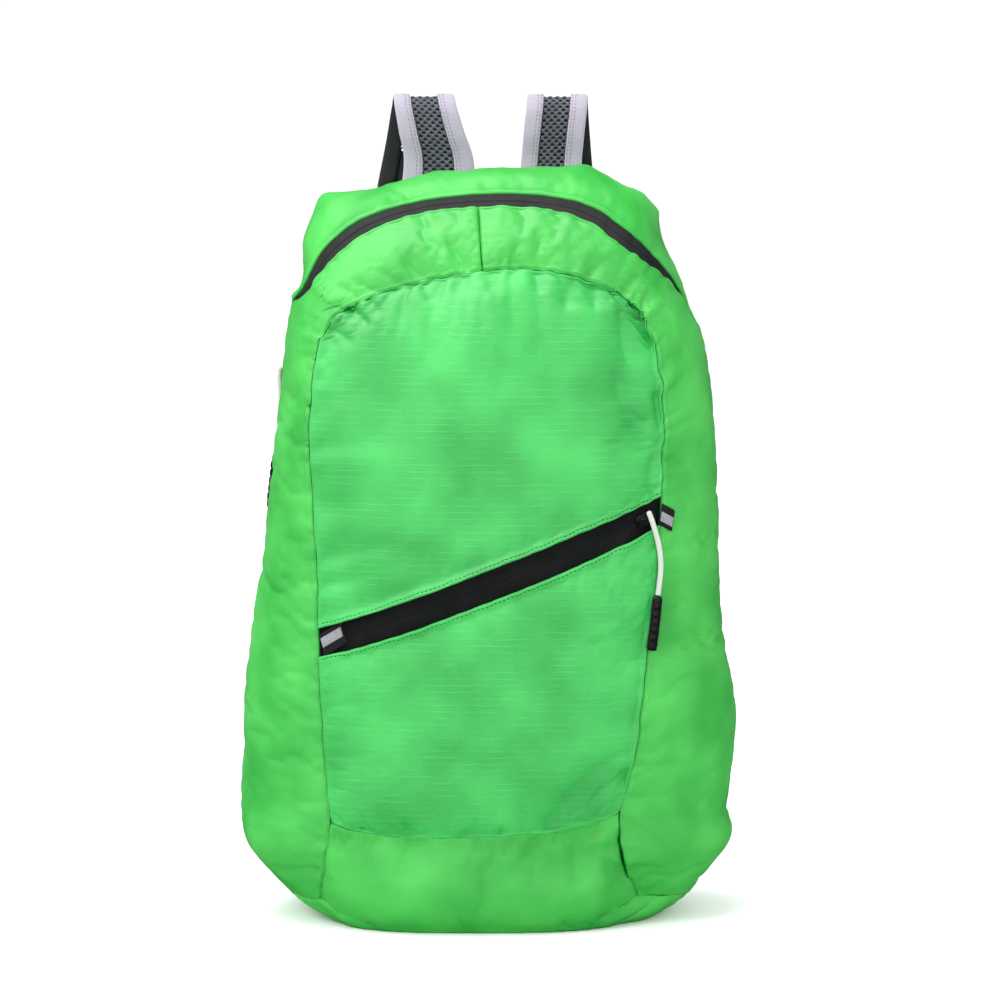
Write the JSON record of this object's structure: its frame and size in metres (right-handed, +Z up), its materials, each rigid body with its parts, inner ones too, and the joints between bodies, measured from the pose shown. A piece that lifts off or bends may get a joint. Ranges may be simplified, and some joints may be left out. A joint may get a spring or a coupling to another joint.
{
  "type": "packable backpack",
  "caption": "Light packable backpack with arched front panel, diagonal zipped front pocket, zipped main compartment, base panel and mesh shoulder straps; stands on its base.",
  "frame": {"origin": "middle of the footprint of the whole part, on the floor", "axes": "+X to the right seen from the front, +Y towards the back panel and straps, +Z up; the front faces -Y"},
  "size_m": [0.2872, 0.1592, 0.4825],
  "materials": {
    "cloth": "thin ripstop nylon, soft sheen",
    "zip_tape": "coated black zip tape, matte",
    "slider": "black enamel",
    "ribbon": "woven black ribbon",
    "reflective": "grey reflective stripe",
    "cord": "light grey cord",
    "pull_end": "moulded black, satin",
    "strap_mesh": "open dark mesh",
    "binding": "grey woven binding",
    "buckle": "black, matte"
  },
  "bodies": {
    "root": {"gusset_front_left": "cloth", "gusset_front_right": "cloth", "gusset_rear": "cloth", "front_panel_lower": "cloth", "front_panel_upper": "cloth", "base_panel": "cloth", "back_panel": "cloth", "main_zip_tape_front": "zip_tape", "main_zip_tape_rear": "zip_tape", "pocket_zip_tape_lower": "zip_tape", "pocket_zip_tape_upper": "zip_tape", "pocket_zip_slider": "slider", "main_zip_slider": "slider", "left_tab": "ribbon", "left_tab_stripe": "reflective", "right_tab": "ribbon", "right_tab_stripe": "reflective", "pocket_pull_cord": "cord", "pocket_pull_end": "pull_end", "main_pull_cord": "cord", "main_pull_end": "pull_end", "strap_mesh_left": "strap_mesh", "strap_mesh_right": "strap_mesh", "strap_binding_left_outer": "binding", "strap_binding_left_inner": "binding", "strap_binding_right_outer": "binding", "strap_binding_right_inner": "binding", "webbing_left": "ribbon", "webbing_right": "ribbon", "buckle_left": "buckle", "buckle_right": "buckle"}
  },
  "joints": []
}
